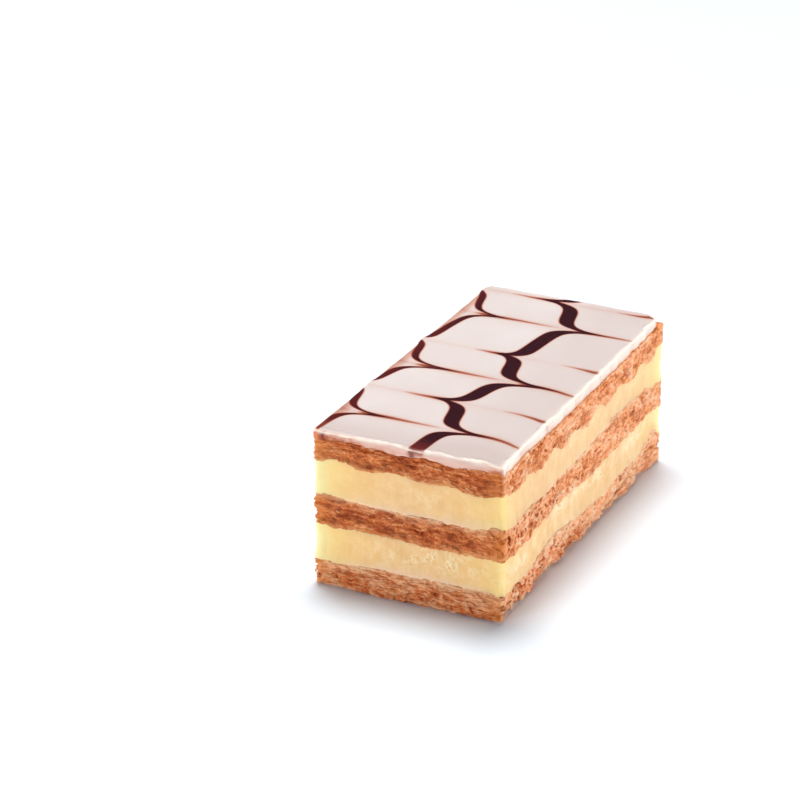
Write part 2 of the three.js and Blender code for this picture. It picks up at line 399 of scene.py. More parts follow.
def leaf_edges(cut, share, seed):
    """How far the main leaves stand out, and stray up and down. Rows of leaf edges and
    gaps alternate, each a level times where it is open, plus a run of its own, and the
    surface goes straight from row to row."""
    sheet = SHEET_WANDER * wander(cut, seed, SHEET_WAVES)
    stands, strays = [], []
    for row in range(LEAVES + 1):
        level = LEAF_OUT if row % 2 else -LEAF_IN
        opened = 0.5 + wander(cut, seed + row + 0.5, LEAF_FADES)
        stands.append(level * opened + LEAF_WANDER * wander(cut, seed + row, LEAF_WAVES))
        strays.append(LEAF_RISE * wander(cut, -seed - row, LEAF_WAVES))
    strays[0] = strays[-1] = 0 * cut.turn
    return between(stands, share) + sheet, between(strays, share)


def between(rows, share):
    """Values part of the way up a list of rows, in a straight line from row to row."""
    rows = np.array(rows)
    place = share * (len(rows) - 1)
    below = np.minimum(np.floor(place).astype(int), len(rows) - 2)
    part = (place - below)[:, None]
    return rows[below] * (1 - part) + rows[below + 1] * part


FIBRE = 0.56  # thickness of one fibre of the baked leaves
FIBRE_STAND = 0.07
FIBRE_GAP = 0.07
FIBRE_WARPS = [(9, 2.8, 1.5), (2.8, 1.2, 0.8)]  # how the fibres rise and fall
FIBRE_TEARS = [(2.8, 1, 1), (1.1, 1, 0.8)]  # how each one stands out along its length


def fibres(distance, height, seed):
    """Each fibre of the leaves is a whole number of a warped height. It stands out by a
    random run of its own, and falls away to its edge by the cube of the distance from
    its middle."""
    warped = height / FIBRE + rough(distance, height, FIBRE_WARPS, seed)
    fibre = np.floor(warped)
    edge = np.abs(2 * (warped - fibre) - 1) ** 3
    torn = rough(distance, fibre, FIBRE_TEARS, seed + 2)
    parted = ease(0.3 + 1.2 * grain(distance, fibre, 3.4, 1, seed + 4))
    return FIBRE_STAND * torn - FIBRE_GAP * edge * (0.2 + parted)


CREVICE_SPACING = 1.7
CREVICE_WIDTH = 0.085  # as a part of that
CREVICE_DEPTH = 0.5


def crevices(distance, height, seed):
    """Gaps where leaves have come apart: thin bells of a slowly warped height, open
    where a random run is high."""
    leaf = height / CREVICE_SPACING + 0.9 * grain(distance, height, 11, 3.4, seed)
    band = bell((leaf - np.round(leaf)) / CREVICE_WIDTH)
    opened = ease(1.8 * grain(distance, np.round(leaf), 4.2, 1, seed + 1) - 0.1)
    return CREVICE_DEPTH * band * opened


PIT_WIDTH = 2.7  # spacing of the pits
PIT_FLATNESS = 0.55  # their height as a part of it
PIT_RIM = 0.84
PIT_DEPTH = 0.8


def pitted(distance, height, seed):
    """Ragged pits, 0 to 1 at their deepest: the part of warped pebbles above a rim,
    open where a slow random patch is high."""
    sideways = distance + 0.55 * grain(distance, height, 1.3, 0.9, seed + 1)
    upward = height + 0.4 * grain(distance, height, 1.1, 0.8, seed + 2)
    holes = pebbles(sideways, upward, PIT_WIDTH, PIT_FLATNESS, seed)
    holes = ease((holes - PIT_RIM) / (1 - PIT_RIM))
    return holes * np.clip(0.5 + 1.3 * grain(distance, height, 3.6, 2.4, seed + 3), 0, 1)


BROWNED = {"front": 1, "left": 0.75, "back": 0.45}
# Where a sheet is darker: each patch's place along a side and its share of the sheet's height.
DARKER = {
    "pastry_bottom": {
        "front": [(9, 0.3), (19, 0.75), (32, 0.5), (45, 0.3)],
        "right": [
            (20, 0.4), (36, 0.6), (42, 0.3), (48, 0.35), (66, 0.3), (75, 0.5), (90, 0.6),
        ],
    },
    "pastry_middle": {
        "front": [(7, 0.5), (20, 0.3), (30.5, 0.8), (36, 0.7), (40, 0.3)],
        "right": [(17, 0.5), (31.5, 0.4), (53, 0.2), (67, 0.85), (85, 0.3)],
    },
    "pastry_top": {
        "front": [(14.5, 0.2), (21, 0.7), (26, 0.6), (31, 0.5), (36, 0.4), (44, 0.3)],
        "right": [(18.5, 0.2), (32, 0.4), (45.5, 0.35), (73, 0.5), (87, 0.45)],
    },
}
DARKER_SIZE = (3.4, 0.3)  # how wide a patch is, and how high as a share


def browning(cut, name, height, share, seed):
    """How brown a sheet is: its sides' shares, plus ragged patches that are bells along and up,
    plus painted shade at the foot of the bottom sheet's right side, near the table. Over 1 it is
    scorched, as only the front may be."""
    right = facing(cut, "right")
    darker = 0
    for side, patches in DARKER[name].items():
        for at, middle in patches:
            patch = lump(cut, side, at, 1, DARKER_SIZE[0])
            darker = darker + patch * bell((share - middle) / DARKER_SIZE[1])
    ragged = 0.75 + 1.2 * grain(cut.distance + 0 * height, height, 2.2, 1.3, seed)
    # painted shade: the foot of the bottom sheet's right side is browner, as if in the table's
    # shadow
    foot = right * (1 - share) ** 2 * (name == "pastry_bottom")
    brown = by_side(cut, BROWNED) * (1 - right**4)
    brown = brown + 0.7 * (darker * np.clip(ragged, 0, 1)) + 0.45 * foot
    return np.clip(brown, 0, 1 + facing(cut, "front"))


CLUMPS = [(2.3, 0.42), (1.2, 0.26), (0.66, 0.16)]  # size and depth
CLUMP_FLATNESS = 0.8
CLUMP_LEVEL = 0.72  # how full a clump is where it is level with the cut
CRUMBS = [(0.8, 0.5, 0.13), (0.4, 0.33, 0.09)]
PASTRY_OUT = 0.12  # how far the pastry stands out on the whole
STANDING_CORNERS = {"back": 1}  # where the sheets stand out more and aren't undercut
UNDERCUT = 1.0  # how far the foot of the right side stands back from the cut
CREAM_REACH = 1.0  # how far custard is smeared down a sheet from the seam above
SOAK_REACH = 1.1  # how far custard has soaked into a sheet from the seam below
# painted light: near the upright corners the pastry is painted a brighter orange, standing in
# for light glowing through them
PASTRY_GLOW_CORNERS = {"front": 1, "right": 0.9, "back": 0.9, "left": 0.9}
CORNER_GLOW_SHARE = {"pastry_bottom": 0.5, "pastry_middle": 1, "pastry_top": 0.2}  # on the right


def pastry_layer(cut, name, above, seed, pitting):
    """A sheet of puff pastry. Its side is half the main leaves, plus fibres, less crevices, plus
    clumps and crumb, less pits. It stands out more at a standing corner, is drawn in just under
    custard, and on the table its right foot is undercut by the power 1.5 of the share left
    above. Its marks are how proud a point is, which the finish uses for painted shade in the
    hollows, how brown, how near a corner, for a painted glow of light through it, how deep in a
    pit, which is also painted shade, and how smeared with custard or soaked by it."""
    on_table = name == "pastry_bottom"
    under_custard = above != "fondant"
    low = seam(name, cut)
    high = seam(above, cut)
    share = np.linspace(0, 1, PASTRY_ROWS)[:, None]
    height = share * (high - low)
    distance = cut.distance + 0 * height
    right = facing(cut, "right")
    loose = by_side(cut, CRUMBLY)

    stand, stray = leaf_edges(cut, share[:, 0], seed)
    clumps = sum(
        depth * (pebbles(distance, height, size, CLUMP_FLATNESS, seed + k) - CLUMP_LEVEL)
        for k, (size, depth) in enumerate(CLUMPS, 110)
    )
    leaves = fibres(distance, height, seed + 100) - crevices(distance, height, seed + 105)
    pits = pitted(distance, height, seed + 120) * (0.5 + 0.5 * loose) * pitting
    out = stand * (0.5 - 0.1 * loose) + leaves * (1 - 0.75 * loose)
    out = out + clumps * (0.5 + 0.55 * loose) - PIT_DEPTH * pits
    out = out + rough(distance, height, CRUMBS, seed + 130)
    if on_table:
        worn = 1 + 0.9 * run(cut, 4.6, 151) + 0.6 * grain(distance, height, 1.8, 1.4, 152)
        undercut = right * (1 - near_corner(cut, 5, STANDING_CORNERS))
        out = out - UNDERCUT * worn * undercut * (1 - share) ** 1.5
    out = out + PASTRY_OUT + 0.5 * near_corner(cut, 3, STANDING_CORNERS)
    if under_custard:
        out = out * (1 - 0.8 * np.exp((height - high + low) / 0.4))
    out = np.clip(out, -DEEPEST, RAGGED)
    sway = 0.2 * grain(distance, height, 1.7, 0.9, seed + 140)
    level = low + height + np.sin(math.pi * share) ** 0.5 * (stray + sway)
    level = np.maximum(level, 0)

    first = 0.0 * low if on_table else low
    hidden = -DEEPEST - 0.3
    rings = [ring(cut, -CAP_INSET, first), ring(cut, hidden, first)]
    rings += [ring(cut, out[k], level[k]) for k in range(PASTRY_ROWS)]
    rings += [ring(cut, hidden, high), ring(cut, -CAP_INSET, high)]

    # corner: mask of the painted glow of light through the corners
    corner = near_corner(cut, 2.2, PASTRY_GLOW_CORNERS)
    corner = corner * (1 - (1 - CORNER_GLOW_SHARE[name]) * right)
    patchy = np.clip(0.7 + grain(distance, height, 2.3, 2, seed + 141), 0.15, 1)
    creamed = patchy * np.exp((height - high + low) / CREAM_REACH) * (1 - 0.5 * corner)
    soaked = patchy * np.exp(-height / SOAK_REACH) * (1 - 0.5 * right)
    fields = {
        # proud drives painted shade: the finish is darker in hollows and lighter where the
        # surface stands out
        "proud": (np.clip(0.5 + (out - surround(out, 7, 4)) / 0.7, 0, 1), 0.5),
        "browned": (browning(cut, name, height, share, seed + 142), 0.5),
        "corner_glow": (corner, 0),
        # pitted also drives painted shade in the pits
        "pitted": (pits, 0),
        "creamed": (creamed * under_custard, 0),
        "soaked": (soaked * (not on_table), 0),
    }
    marks = with_ends(fields, out.shape, 2)
    return SimpleNamespace(rings=np.array(rings), marks=marks, out=out, level=level)


# ---- Custard ----

CUSTARD_RECESS = 0.2
CUSTARD_WANDER = 0.15
CUSTARD_WAVES = [4, 9, 15, 26]
CUSTARD_HOLLOW = 0.12
CUSTARD_TUCK = 0.35  # how far it runs on behind the pastry above and below
CUSTARD_LIP = 0.4  # how far it is pressed out over the sheet that carries it
FULL_CORNERS = {"front": 0.38, "back": 0.5}  # where it fills the corner out to the cut
# painted light: the custard is painted warmer and paler towards its upright corners, standing in
# for light glowing through them
GLOW_CORNERS = {"front": 1, "right": 0.3, "back": 1, "left": 0.9}
GLOW_REACH = 3.0  # how far light comes through from a corner
WARM_GLOW_CORNERS = {"front": 1, "right": 0.6, "back": 0.8, "left": 0.8}
WARM_GLOW_REACH = 7.5  # how far it warms the colour
# painted shade: a patch on the right side shaded as if under the pastry
SHADED_PATCH = {"custard_upper": ("right", 17, 0.6, 15)}  # a duller patch
DRAG_MARKS = [(0.9, 5.5, 1), (0.5, 2.6, 0.6)]
BREAKS = [(1.0, 0.8, 1), (0.5, 0.45, 0.5)]
# Where the custard is curdled: the side, the middle's place along it, its share of the
# height, and how far the patch goes along and up.
CURDLED = [
    ("front", 29, 0.62, 12, 0.26),
    ("right", 10, 0.5, 9, 0.3),
    ("right", 36, 0.75, 12, 0.22),
    ("right", 56, 0.7, 6, 0.2),
    ("right", 80, 0.66, 13, 0.22),
]


def custard_layer(cut, name, sheet, seed, drag, curd):
    """A layer of custard: a little back from the cut, hollow by a half sine, with slow runs, a
    lip over the sheet below that is e to the minus height, upright drag marks, and curds. Those
    are curls, where a grain crosses 0, and dots, in patches that are bells along and up; on the
    right these patches also have glossy spots, which are painted paler as a painted sheen. It
    runs on behind the pastry by a ragged tuck. Its marks are how dragged or broken a point is,
    how curded, with the painted sheen, how near a corner, for a painted glow of light through
    it, and how near the sheets, with painted shade under the sheet above and in a patch on the
    right."""
    tuck = CUSTARD_TUCK * (0.9 + 0.8 * run(cut, 1.4, seed + 117))
    tuck = np.maximum(tuck + CUSTARD_TUCK * 0.5 * run(cut, 0.6, seed + 118), 0.08)
    low = seam(name, cut) - tuck
    high = seam(sheet, cut) + CUSTARD_TUCK
    share = np.linspace(0, 1, CUSTARD_ROWS)[:, None]
    height = share * (high - low)
    distance = cut.distance + 0 * height
    right = facing(cut, "right")

    def patches(along, up, number):
        return grain(distance, height, along, up, seed + number)

    rows = [wander(cut, seed + row / 4, CUSTARD_WAVES) for row in range(4)]
    slow = CUSTARD_WANDER * between(rows, share[:, 0])
    hollow = CUSTARD_HOLLOW * np.sin(math.pi * share)
    pressed = np.clip(0.8 + 0.6 * run(cut, 4.5, seed + 119), 0.3, 1)
    lip = CUSTARD_LIP * pressed * np.exp(-np.maximum(height - tuck, 0) / 1.1)
    lip = lip * (1 - 0.7 * np.exp(-height / 0.15))
    swell = 0.09 * patches(5, 3, 122) + 0.05 * patches(1.6, 1.4, 125)

    curdled = 0
    for side, at, level, along, up in CURDLED:
        curdled = curdled + lump(cut, side, at, 1, along) * bell((share - level) / up)
    curls = np.clip(1 - 4.5 * np.abs(patches(1.25, 1.5, 126)), 0, 1)
    dots = ease((pebbles(distance, height, 0.8, 1.1, seed + 128) - 0.72) / 0.2)
    curds = np.maximum(curls, 0.8 * dots)
    curds = curds * np.clip(1.7 * patches(1.9, 1.7, 127) + 0.3, 0, 1)
    curds = curds * np.clip(0.1 + curdled, 0, 1)
    # painted sheen: glossy patches on the right, which the finish paints paler
    wet_sheen = ease(0.45 + 1.3 * patches(2.8, 2.2, 129)) * np.clip(curdled, 0, 1) * right

    dragged = rough(distance, height, DRAG_MARKS, seed + 120)
    broken = np.clip(rough(distance, height, BREAKS, seed + 123) - 0.85, 0, 1)
    out = -CUSTARD_RECESS - hollow + slow + swell + lip + near_corner(cut, 4, FULL_CORNERS)
    out = out + drag * (dragged - 0.9 * broken) + curd * curds
    out = np.minimum(out, RAGGED)
    rings = [ring(cut, -CAP_INSET, low)]
    rings += [ring(cut, out[k], low + height[k]) for k in range(CUSTARD_ROWS)]
    rings += [ring(cut, -CAP_INSET, high)]

    above = np.maximum(height - tuck, 0)
    below = np.maximum(high - low - height - CUSTARD_TUCK, 0)
    # a patch of painted shade on the right side of the upper custard
    shade_patch = lump(cut, *SHADED_PATCH[name]) if name in SHADED_PATCH else 0
    fields = {
        "dragged": (np.clip(0.5 + 0.3 * dragged * (0.4 + 0.9 * right) - broken, 0, 1), 0.5),
        "curded": (np.clip(min(1, 4 * curd) * (1.3 * curds + 0.6 * wet_sheen), 0, 1), 0),
        # thin and warm are masks of the painted glow of light through the corners
        "thin": (near_corner(cut, GLOW_REACH, GLOW_CORNERS), 0),
        "warm_glow": (near_corner(cut, WARM_GLOW_REACH, WARM_GLOW_CORNERS), 0),
        "foot": (np.exp(-above / 0.9) * (1 - 0.6 * right), 1),
        "shaded": (np.maximum(np.exp(-below / 0.85), shade_patch), 1),
    }
    return SimpleNamespace(rings=np.array(rings), marks=with_ends(fields, out.shape, 1))


# ---- Fondant ----

FONDANT_ROUND = 0.9  # radius of the upper edge
FRONT_ROUND = 0.75  # and at the front, where it was cut
FONDANT_LIP = 0.3  # radius of the lower edge
FONDANT_BEAD = 0.24  # height of the bead that the knife leaves along the edge
DRAPE = 0.5  # how far the fondant hangs out over the front of the pastry
LEFT_SLANT = 0.012  # how much the left edge slants, for each unit along it
# the painted highlight along the rounded edge
RIM_HIGHLIGHT_WIDTH = 0.45  # of the white line along the edge, as an angle of the rounded edge
PUSHED = [2.1, 38.7, 69.5]  # where the pick pushed it out over the left side
MELTED_CORNERS = {"back": 1.0}  # where it ran back from a corner
DRIPS = [(5.5, 0.3), (2.1, 0.25), (0.8, 0.12)]  # how the lower edge runs up and down
FONDANT_SAG = 0.12  # how far its lower edge hangs below the seam
# The rings of points: how many round the lower and the upper edge, the shares of the
# height between them, and how far in from the edge those on the top are.
LIP_RINGS = 6
ROUND_RINGS = 14
EDGE_SHARES = (0.25, 0.5, 0.75)
FACE_INSETS = np.concatenate([np.linspace(1.1, 3, 8), np.linspace(3.6, HALF_WIDTH - 1, 32)])


def fondant_edge(cut):
    """How far out the edge is: back from the cut, uneven, out over the front, slanted
    and pushed out on the left, and back at a melted corner."""
    front, right, left = (facing(cut, side) for side in ("front", "right", "left"))
    edge = -FONDANT_RECESS + 0.1 * run(cut, 6, 140)
    edge = edge + right * (0.1 + 0.16 * run(cut, 2.7, 151))
    edge = edge + front * (DRAPE + 0.2 * run(cut, 2.6, 141))
    pushed = sum(lump(cut, "left", at, 0.5, 2.5) for at in PUSHED)
    edge = edge + left * (0.1 - LEFT_SLANT * cut.place[:, 1] + pushed)
    edge = edge - near_corner(cut, 2.0, MELTED_CORNERS)
    return np.minimum(edge, RAGGED - 0.15)


def fondant_layer(cut):
    """The poured fondant, from the pastry up: a rounded lip that drips, an upright edge, a
    quarter circle, and the top. Its marks are how thin it hangs, more to its foot and to both
    ends of the front, and a painted highlight along its rim: a bell about an angle of the
    rounded edge, and on the right also e to the minus the distance in, which paints the upright
    face white as if lit. Off the right side the highlight is a little weaker and patchy."""
    front = facing(cut, "front")
    right = facing(cut, "right")
    edge = fondant_edge(cut)
    low = seam("fondant", cut) - FONDANT_SAG - 0.2 * right
    for number, (along, drop) in enumerate(DRIPS, 142):
        drip = drop * run(cut, along, number)
        low = low + drip * (0.4 + 1.0 * front + 0.7 * right)
    bead = FONDANT_BEAD * (0.5 + 0.5 * run(cut, 3.1, 146))
    bead = np.minimum(bead + 0.09 * front * run(cut, 1.0, 147), FONDANT_BEAD - 0.02)
    wavy = 0.3 * run(cut, 4.2, 149) + 0.12 * run(cut, 1.3, 150)
    rounding = FONDANT_ROUND + (FRONT_ROUND - FONDANT_ROUND) * front + wavy * (front + right)
    # the angle and width of the painted highlight on the rounded edge
    lean = math.pi / 4 + front * (0.5 * run(cut, 3.3, 152) - 0.1)
    wide = RIM_HIGHLIGHT_WIDTH * (1 + 0.45 * run(cut, 2.1, 153) * front)

    rings, depth, rim = [], [], []

    # white: how strong the painted highlight is at this ring
    def add(out, level, deep, white=0):
        rings.append(ring(cut, out, level))
        depth.append(deep)
        rim.append(white + 0 * cut.turn)

    add(-CAP_INSET, low, 1)
    for angle in np.linspace(-math.pi / 2, 0, LIP_RINGS):
        inward = FONDANT_LIP * (1 - math.cos(angle))
        up = 1 + math.sin(angle)
        add(edge - inward, low + FONDANT_LIP * up, 1 - 0.15 * up)
    foot = low + FONDANT_LIP
    brow = FONDANT_FACE - rounding
    for share in EDGE_SHARES:
        bulge = 1 + grain(cut.distance, share, 1.9, 0.3, 145)
        bulge = 0.07 * math.sin(math.pi * share) * bulge
        add(edge + bulge, foot * (1 - share) + brow * share, 0.85 - 0.45 * share)
    for angle in np.linspace(0, math.pi / 2, ROUND_RINGS):
        inward = rounding * (1 - math.cos(angle))
        level = fondant_top(cut, inward, bead) - rounding * (1 - math.sin(angle))
        deep = 0.4 * (1 - math.sin(angle)) ** 0.7
        # a painted highlight line about the angle lean
        add(edge - inward, level, deep, bell((angle - lean) / wide))
    for inset in FACE_INSETS:
        melt = ease((inset - 1) / 4)
        out = edge * (1 - melt) - FONDANT_RECESS * melt - inset
        add(out, fondant_top(cut, inset, bead), 0)

    rings = np.array(rings)
    depth = np.array(depth)[:, None]
    x = rings[:, :, 0]
    to_left = 0.24 * ease(-x / 6) + 0.5 * ease((-x - 12) / 10)
    thin = front * (0.4 + to_left + 0.35 * ease((x - 16) / 7)) + 0.3 * right
    patchy = np.clip(0.85 + 0.3 * run(cut, 1.3, 148), 0, 1)
    # thick: how strong the painted highlight is, full on the right
    thick = 0.8 * patchy * (1 - right) + right
    # band: painted white on the upright face of the right side, as if lit
    band = right * np.exp(-np.maximum(HALF_WIDTH - x, 0) / 0.6) * np.clip(1.25 - depth, 0, 1)
    marks = {"draped": depth * thin, "rim_highlight": np.maximum(np.array(rim), band) * thick}
    return SimpleNamespace(rings=rings, marks=marks)


def fondant_top(cut, inset, bead):
    """Height of the top at a distance in from its edge: the face less the full bead,
    plus the bead there, a bell about the edge's radius, less shallow runs, a warped
    sine along the slice times a warped cosine across it."""
    place = cut.place - cut.ray * np.reshape(inset, (-1, 1))
    runs = np.sin(place[:, 1] / 5.3 + 1.3 * np.sin(place[:, 0] / 7.1))
    runs = runs * np.cos(place[:, 0] / 8.7 + 0.9 * np.sin(place[:, 1] / 11))
    hill = bell((inset - FONDANT_ROUND) / 0.75)
    return FONDANT_FACE - FONDANT_BEAD + bead * hill - 0.025 * (1 + runs) * ease(inset / 5)


# ---- Shader maths ----


def hue(code):
    """A colour as linear light, from its six-digit web code."""
    parts = [int(code[k : k + 2], 16) / 255 for k in (1, 3, 5)]
    linear = [p / 12.92 if p <= 0.04045 else ((p + 0.055) / 1.055) ** 2.4 for p in parts]
    return (*linear, 1)


class Wire:
    """A socket that carries a number, so that sums on it can be written out."""

    def __init__(self, finish, socket):
        self.finish = finish
        self.socket = socket

    def __abs__(self):
        return self.finish.sum("ABSOLUTE", self)


def sums(operation):
    """Two methods that do a sum on a wire and another value, and the other way round."""

    def work(wire, other):
        return wire.finish.sum(operation, wire, other)

    def swapped(wire, other):
        return wire.finish.sum(operation, other, wire)

    return work, swapped


Wire.__add__, Wire.__radd__ = sums("ADD")
Wire.__sub__, Wire.__rsub__ = sums("SUBTRACT")
Wire.__mul__, Wire.__rmul__ = sums("MULTIPLY")
Wire.__truediv__ = sums("DIVIDE")[0]
Wire.__pow__ = sums("POWER")[0]


class Finish:
    """A material, and the calls that add to it. Its place is a point's, in
    millimetres."""

    def __init__(self, name):
        self.material = bpy.data.materials.new(name)
        self.material.use_nodes = True
        self.tree = self.material.node_tree
        self.tree.nodes.clear()
        here = self.node("TexCoord", output="Object")
        self.place = self.stretch(here, (1 / MM,) * 3)

    def node(self, kind, settings=None, inputs=None, output=0):
        """A node of one kind, with its settings, and each socket's link, colour or
        value."""
        made = self.tree.nodes.new("ShaderNode" + kind)
        for name, value in (settings or {}).items():
            setattr(made, name, value)
        for key, value in (inputs or {}).items():
            if isinstance(value, Wire):
                self.tree.links.new(value.socket, made.inputs[key])
            else:
                made.inputs[key].default_value = hue(value) if isinstance(value, str) else value
        return Wire(self, made.outputs[output]) if made.outputs else made

    def sum(self, operation, *values, clamp=False):
        settings = {"operation": operation, "use_clamp": clamp}
        return self.node("Math", settings, dict(enumerate(values)))

    def clamp(self, value):
        return self.sum("ADD", value, 0, clamp=True)

    def bell(self, spread):
        """e to the minus spread squared."""
        return self.sum("EXPONENT", spread * spread * -1)

    def stretch(self, vector, by):
        return self.node("VectorMath", {"operation": "MULTIPLY"}, {0: vector, 1: by})

    def along(self, axis):
        """How far along one axis of the slice."""
        return self.node("SeparateXYZ", inputs={0: self.place}, output=axis)

    def mark(self, name):
        return self.node("Attribute", {"attribute_name": name}, output="Fac")

    def noise(self, across, up, detail, roughness):
        """Noise of so many waves for each millimetre across the slice, and up it."""
        place = self.stretch(self.place, (across, across, up))
        inputs = {"Vector": place, "Scale": 1, "Detail": detail, "Roughness": roughness}
        return self.node("TexNoise", inputs=inputs)

    def ramp(self, value, stops):
        """A colour from a list of (place, colour code)."""
        made = self.node("ValToRGB", inputs={0: value})
        elements = made.socket.node.color_ramp.elements
        while len(elements) < len(stops):
            elements.new(0.5)
        for element, (place, code) in zip(elements, stops):
            element.position = place
            element.color = hue(code)
        return made

    def mix(self, share, first, second):
        """A colour from the first to the second. The node clamps the share."""
        inputs = {0: share, 6: first, 7: second}
        return self.node("Mix", {"data_type": "RGBA"}, inputs, output=2)

    def washed(self, color, *washes):
        """A colour with others laid over it in turn, each by a share."""
        for share, over in washes:
            color = self.mix(share, color, over)
        return color

    def bump(self, height, depth):
        """Fine relief, with its depth in millimetres."""
        inputs = {"Height": height, "Strength": 1, "Distance": depth * MM}
        return self.node("Bump", inputs=inputs)

    def done(self, **sockets):
        """Joins the surface's sockets to the material and returns it."""
        names = {key.replace("_", " "): value for key, value in sockets.items()}
        surface = self.node("BsdfPrincipled", inputs=names)
        self.node("OutputMaterial", inputs={"Surface": surface})
        return self.material


# ---- Finishes ----

FRONT_BROWNS = [
    (0.0, "#7b300e"), (0.25, "#ad4f1e"), (0.5, "#d16c32"), (0.75, "#e08a50"), (1.0, "#f0b181"),
]
SIDE_BROWNS = [
    (0.0, "#b86029"), (0.25, "#e4894e"), (0.5, "#fba975"), (0.75, "#ffc095"), (1.0, "#ffd8b0"),
]
# painted glow of light through the pastry's corners
CORNER_GLOW_ORANGE = "#ea9148"
# painted shade in the pits
PIT_SHADE_BROWN = "#c4642a"
LINE_BROWN = "#9a3c14"
SMEARED_CREAM = "#f6c698"
SOAKED_BROWN = "#e6a064"


def baked_pastry(name, shift):
    """Baked puff pastry. Its brown goes by how proud the point is, which paints shade darker in
    the hollows and lighter on what stands out, by streaks along the leaves, blotches and crumb,
    and is redder where it is browned, darker where scorched, deeper in pits, as painted shade
    there, and deeper along thin lines, where a drawn-out noise crosses its middle. Near the
    upright corners it is a brighter orange, a painted glow of light through them. Custard is
    smeared over it and soaked into it at the seams."""
    finish = Finish(name)
    clamp, mark = finish.clamp, finish.mark
    browned = clamp(mark("browned"))
    scorched = clamp(mark("browned") - 1)
    streaks = finish.noise(0.6, 1.9, 3, 0.6)
    drawn = finish.noise(0.16, 1.1, 3, 0.55)
    blotches = finish.noise(0.6, 1.0, 4, 0.6)
    crumb = finish.noise(2.0, 2.4, 3, 0.6)
    scorch = finish.noise(0.15, 0.3, 2, 0.5)
    # painted shade: the proud mark darkens hollows and lightens what stands out
    tone = 0.5 + shift * (0.3 + 0.7 * browned) + 0.4 * (mark("proud") - 0.5)
    tone = tone + (0.3 + 0.6 * browned) * (streaks - 0.5) + 1.5 * (scorch - 0.5)
    tone = tone + (1.9 - 0.7 * browned) * (blotches - 0.5) + 0.9 * (crumb - 0.5)
    tone = clamp(tone - 0.32 * scorched)
    color = finish.mix(browned, finish.ramp(tone, SIDE_BROWNS), finish.ramp(tone, FRONT_BROWNS))
    lines = clamp(1 - 16 * abs(drawn - 0.5)) * (0.12 + 0.55 * browned)
    color = finish.washed(
        color,
        (lines, LINE_BROWN),
        # painted shade in the pits
        (mark("pitted") * (0.1 + 0.9 * blotches), PIT_SHADE_BROWN),
        # painted glow of light through the corners
        (mark("corner_glow") * (0.4 + blotches), CORNER_GLOW_ORANGE),
        (mark("soaked") * (0.45 + 1.1 * blotches), SOAKED_BROWN),
        (mark("creamed") * (0.45 + 1.1 * crumb), SMEARED_CREAM),
    )
    return finish.done(
        Base_Color=color,
        Roughness=clamp(0.6 + 0.5 * (crumb - 0.45)),
        Specular_IOR_Level=0.22,
        Normal=finish.bump(crumb + blotches, 0.22),
        Subsurface_Weight=0.15,
        Subsurface_Radius=(1, 0.4, 0.2),
        Subsurface_Scale=0.0015,
    )


CUSTARD_TONES = [(0.1, "#e9b670"), (0.5, "#f3c689"), (0.9, "#fbe0ab")]
# painted glow of light through the custard's corners, warm and then pale
CUSTARD_WARM_GLOW = "#ffcc76"
CUSTARD_GLOW = "#ffedab"
# the curds' own paler cream, also laid on the glossy patches as a painted sheen
CUSTARD_CURD = "#ffe9bb"
CUSTARD_FOOT = "#ffcfae"
CUSTARD_SHADE = "#e2ad80"


def set_custard(name, streak):
    """Set custard cream: satin yellow, paler on drag marks and curds, and paler still on the
    glossy patches, as a painted sheen, with a painted glow, warmer and then brighter, towards
    the corners where light comes through, pale at its foot, and browner under the pastry and in
    a patch on the right, as painted shade."""
    finish = Finish(name)
    clamp, mark = finish.clamp, finish.mark
    clouds = finish.noise(0.3, 0.3, 3, 0.5)
    upright = finish.noise(1.5, 0.4, 3, 0.6)
    curds = finish.noise(2.2, 2.2, 3, 0.6)
    tone = 0.5 + 0.7 * (clouds - 0.5) + 0.35 * (curds - 0.5)
    tone = tone + streak * ((mark("dragged") - 0.5) + upright - 0.5)
    color = finish.washed(
        finish.ramp(clamp(tone), CUSTARD_TONES),
        (1.8 * mark("foot") * clouds, CUSTARD_FOOT),
        # painted shade under the pastry and in the patch on the right
        (0.9 * mark("shaded") * curds, CUSTARD_SHADE),
        # painted glow of light through the corners
        (1.6 * mark("warm_glow"), CUSTARD_WARM_GLOW),
        # curds are paler, and the glossy patches are painted paler as their sheen
        (mark("curded"), CUSTARD_CURD),
        (mark("thin") * (0.8 + clouds), CUSTARD_GLOW),
    )
    return finish.done(
        Base_Color=color,
        Roughness=clamp(0.42 - 0.14 * mark("curded") + 0.3 * (curds - 0.5)),
        Specular_IOR_Level=0.38,
        Normal=finish.bump(curds + 0.5 * upright, 0.07),
        Subsurface_Weight=0.4,
        Subsurface_Radius=(1, 1, 0.6),
        Subsurface_Scale=0.002,
    )


# The chocolate was piped in stripes along the slice, and a pick was drawn across them, to
# the right (1) and to the left (-1) by turns. Places are from the slice's middle: each
# stripe's centre and width, and each stroke's place, way and pulls of its shoulder and
# tail, then where each streak that the pick carried along begins and ends.
STRIPES = [(-22.5, 1.7), (2.65, 3.9)]
LEAN = 0.016
LEFT_LEAN = 0.019  # and how much more the left stripe leans
STROKES = [
    (-36.3, 1, 2.0, 8.5, [(-19.5, 3), (8, 34)]),
    (-21.2, -1, 2.0, 5.4, [(-2, -15), (26, 11)]),
    (-5.0, 1, 2.6, 10.5, [(-19.5, 4), (8, 34)]),
    (9.6, -1, 1.1, 4.3, [(-1, -10), (26, 13)]),
    (30.7, 1, 2.3, 7.6, [(-19.5, 4), (8, 30)]),
    (46.2, -1, 2.4, 7.0, [(-2, -16), (26, 13)]),
]
SHOULDER_REACH = 6.4
TAIL_REACH = 1.25
LINE_SOFTNESS = 0.25
STREAK_WIDTH = (0.38, 0.5)  # at its tip, and how much more where it begins
